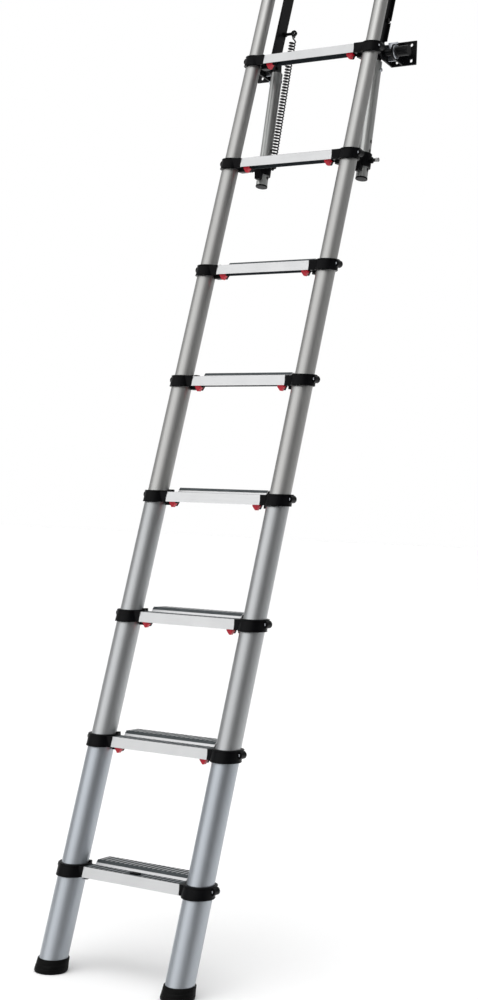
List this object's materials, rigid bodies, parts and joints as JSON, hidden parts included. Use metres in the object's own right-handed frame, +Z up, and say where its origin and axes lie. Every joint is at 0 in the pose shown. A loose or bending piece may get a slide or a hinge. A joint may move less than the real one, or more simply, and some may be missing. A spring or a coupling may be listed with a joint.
{
  "type": "telescoping ladder",
  "caption": "Telescoping attic ladder of nested round stiles with level steps, locking collars and hatch brackets.",
  "frame": {"origin": "centre of the ladder's box on the floor, in the unfolded working position", "axes": "+Z up, +X across the ladder to the climber's right, +Y away from the climber towards the hatch's hinged side"},
  "size_m": [0.474, 0.9474, 2.568],
  "materials": {
    "anodised_tube": "satin anodised, fine lengthwise drawing lines",
    "tread_aluminium": "bright anodised extrusion with a ribbed dark top",
    "support_aluminium": "satin anodised",
    "black_plastic": "moulded, slightly glossy on the bands",
    "red_plastic": "crimson moulded nose on a black carrier",
    "foot_rubber": "moulded rubber",
    "black_steel": "black powder coat",
    "spring_steel": "blackened spring steel",
    "zinc_steel": "zinc plated"
  },
  "bodies": {
    "hatch_brackets": {"mounting_bracket_left": "black_steel", "mounting_bracket_right": "black_steel", "bracket_plates": "zinc_steel", "pivot_bolts": "zinc_steel"},
    "top_section": {"stiles_9": "anodised_tube", "tread_9": "tread_aluminium", "collars_9": "black_plastic", "top_caps": "black_plastic", "carrier_arms": "black_steel", "spring_eyes": "black_steel", "support_tubes": "support_aluminium", "support_caps": "black_plastic", "support_springs": "spring_steel", "support_bolts": "zinc_steel"},
    "clamps": {"support_clamps": "black_steel"},
    "pin_left": {"pull_pin_left": "black_steel"},
    "pin_right": {"pull_pin_right": "black_steel"},
    "section_1": {"stiles_1": "anodised_tube", "tread_1": "tread_aluminium", "collars_1": "black_plastic", "feet": "foot_rubber"},
    "lock_left_1": {"latch_left_1": "black_plastic"},
    "lock_right_1": {"latch_right_1": "black_plastic"},
    "section_2": {"stiles_2": "anodised_tube", "tread_2": "tread_aluminium", "collars_2": "black_plastic"},
    "lock_left_2": {"latch_left_2": "red_plastic"},
    "lock_right_2": {"latch_right_2": "red_plastic"},
    "section_3": {"stiles_3": "anodised_tube", "tread_3": "tread_aluminium", "collars_3": "black_plastic"},
    "lock_left_3": {"latch_left_3": "red_plastic"},
    "lock_right_3": {"latch_right_3": "red_plastic"},
    "section_4": {"stiles_4": "anodised_tube", "tread_4": "tread_aluminium", "collars_4": "black_plastic"},
    "lock_left_4": {"latch_left_4": "red_plastic"},
    "lock_right_4": {"latch_right_4": "red_plastic"},
    "section_5": {"stiles_5": "anodised_tube", "tread_5": "tread_aluminium", "collars_5": "black_plastic"},
    "lock_left_5": {"latch_left_5": "red_plastic"},
    "lock_right_5": {"latch_right_5": "red_plastic"},
    "section_6": {"stiles_6": "anodised_tube", "tread_6": "tread_aluminium", "collars_6": "black_plastic"},
    "lock_left_6": {"latch_left_6": "red_plastic"},
    "lock_right_6": {"latch_right_6": "red_plastic"},
    "section_7": {"stiles_7": "anodised_tube", "tread_7": "tread_aluminium", "collars_7": "black_plastic"},
    "lock_left_7": {"latch_left_7": "red_plastic"},
    "lock_right_7": {"latch_right_7": "red_plastic"},
    "section_8": {"stiles_8": "anodised_tube", "tread_8": "tread_aluminium", "collars_8": "black_plastic"},
    "lock_left_8": {"latch_left_8": "red_plastic"},
    "lock_right_8": {"latch_right_8": "red_plastic"},
    "slider": {"release_slider": "black_plastic"}
  },
  "joints": [
    {"name": "ladder_swing", "type": "hinge", "parent": "hatch_brackets", "child": "top_section", "pos_m": [0, 0.36525, 2.223], "axis": [-1, 0, 0], "range_deg": [0, 70]},
    {"name": "section_8_slide", "type": "slide", "parent": "top_section", "child": "section_8", "axis": [0, 0.309, 0.9511], "range_m": [0, 0.25]},
    {"name": "section_7_slide", "type": "slide", "parent": "section_8", "child": "section_7", "axis": [0, 0.309, 0.9511], "range_m": [0, 0.25]},
    {"name": "section_6_slide", "type": "slide", "parent": "section_7", "child": "section_6", "axis": [0, 0.309, 0.9511], "range_m": [0, 0.25]},
    {"name": "section_5_slide", "type": "slide", "parent": "section_6", "child": "section_5", "axis": [0, 0.309, 0.9511], "range_m": [0, 0.25]},
    {"name": "section_4_slide", "type": "slide", "parent": "section_5", "child": "section_4", "axis": [0, 0.309, 0.9511], "range_m": [0, 0.25]},
    {"name": "section_3_slide", "type": "slide", "parent": "section_4", "child": "section_3", "axis": [0, 0.309, 0.9511], "range_m": [0, 0.25]},
    {"name": "section_2_slide", "type": "slide", "parent": "section_3", "child": "section_2", "axis": [0, 0.309, 0.9511], "range_m": [0, 0.25]},
    {"name": "section_1_slide", "type": "slide", "parent": "section_2", "child": "section_1", "axis": [0, 0.309, 0.9511], "range_m": [0, 0.18]},
    {"name": "lock_left_1_draw", "type": "slide", "parent": "section_1", "child": "lock_left_1", "axis": [1, 0, 0], "range_m": [0, 0.008]},
    {"name": "lock_right_1_draw", "type": "slide", "parent": "section_1", "child": "lock_right_1", "axis": [-1, 0, 0], "range_m": [0, 0.008]},
    {"name": "lock_left_2_draw", "type": "slide", "parent": "section_2", "child": "lock_left_2", "axis": [1, 0, 0], "range_m": [0, 0.008], "stiffness_N_per_m": 400},
    {"name": "lock_right_2_draw", "type": "slide", "parent": "section_2", "child": "lock_right_2", "axis": [-1, 0, 0], "range_m": [0, 0.008]},
    {"name": "lock_left_3_draw", "type": "slide", "parent": "section_3", "child": "lock_left_3", "axis": [1, 0, 0], "range_m": [0, 0.008], "stiffness_N_per_m": 400},
    {"name": "lock_right_3_draw", "type": "slide", "parent": "section_3", "child": "lock_right_3", "axis": [-1, 0, 0], "range_m": [0, 0.008]},
    {"name": "lock_left_4_draw", "type": "slide", "parent": "section_4", "child": "lock_left_4", "axis": [1, 0, 0], "range_m": [0, 0.008], "stiffness_N_per_m": 400},
    {"name": "lock_right_4_draw", "type": "slide", "parent": "section_4", "child": "lock_right_4", "axis": [-1, 0, 0], "range_m": [0, 0.008]},
    {"name": "lock_left_5_draw", "type": "slide", "parent": "section_5", "child": "lock_left_5", "axis": [1, 0, 0], "range_m": [0, 0.008], "stiffness_N_per_m": 400},
    {"name": "lock_right_5_draw", "type": "slide", "parent": "section_5", "child": "lock_right_5", "axis": [-1, 0, 0], "range_m": [0, 0.008]},
    {"name": "lock_left_6_draw", "type": "slide", "parent": "section_6", "child": "lock_left_6", "axis": [1, 0, 0], "range_m": [0, 0.008], "stiffness_N_per_m": 400},
    {"name": "lock_right_6_draw", "type": "slide", "parent": "section_6", "child": "lock_right_6", "axis": [-1, 0, 0], "range_m": [0, 0.008]},
    {"name": "lock_left_7_draw", "type": "slide", "parent": "section_7", "child": "lock_left_7", "axis": [1, 0, 0], "range_m": [0, 0.008], "stiffness_N_per_m": 400},
    {"name": "lock_right_7_draw", "type": "slide", "parent": "section_7", "child": "lock_right_7", "axis": [-1, 0, 0], "range_m": [0, 0.008]},
    {"name": "lock_left_8_draw", "type": "slide", "parent": "section_8", "child": "lock_left_8", "axis": [1, 0, 0], "range_m": [0, 0.008], "stiffness_N_per_m": 400},
    {"name": "lock_right_8_draw", "type": "slide", "parent": "section_8", "child": "lock_right_8", "axis": [-1, 0, 0], "range_m": [0, 0.008]},
    {"name": "release_slider_slide", "type": "slide", "parent": "section_1", "child": "slider", "axis": [1, 0, 0], "range_m": [0, 0.008], "stiffness_N_per_m": 400},
    {"name": "clamp_slide", "type": "slide", "parent": "top_section", "child": "clamps", "axis": [0, 0.184, 0.9829], "range_m": [0, 0.05], "deforming": ["support_springs"]},
    {"name": "pull_pin_left_draw", "type": "slide", "parent": "clamps", "child": "pin_left", "axis": [-1, 0, 0], "range_m": [0, 0.01], "stiffness_N_per_m": 300},
    {"name": "pull_pin_right_draw", "type": "slide", "parent": "clamps", "child": "pin_right", "axis": [1, 0, 0], "range_m": [0, 0.01], "stiffness_N_per_m": 300}
  ],
  "couplings": [
    {"joint": "lock_right_2_draw", "follows": "lock_left_2_draw", "ratio": 1},
    {"joint": "lock_right_3_draw", "follows": "lock_left_3_draw", "ratio": 1},
    {"joint": "lock_right_4_draw", "follows": "lock_left_4_draw", "ratio": 1},
    {"joint": "lock_right_5_draw", "follows": "lock_left_5_draw", "ratio": 1},
    {"joint": "lock_right_6_draw", "follows": "lock_left_6_draw", "ratio": 1},
    {"joint": "lock_right_7_draw", "follows": "lock_left_7_draw", "ratio": 1},
    {"joint": "lock_right_8_draw", "follows": "lock_left_8_draw", "ratio": 1},
    {"joint": "lock_left_1_draw", "follows": "release_slider_slide", "ratio": 1},
    {"joint": "lock_right_1_draw", "follows": "release_slider_slide", "ratio": 1}
  ]
}
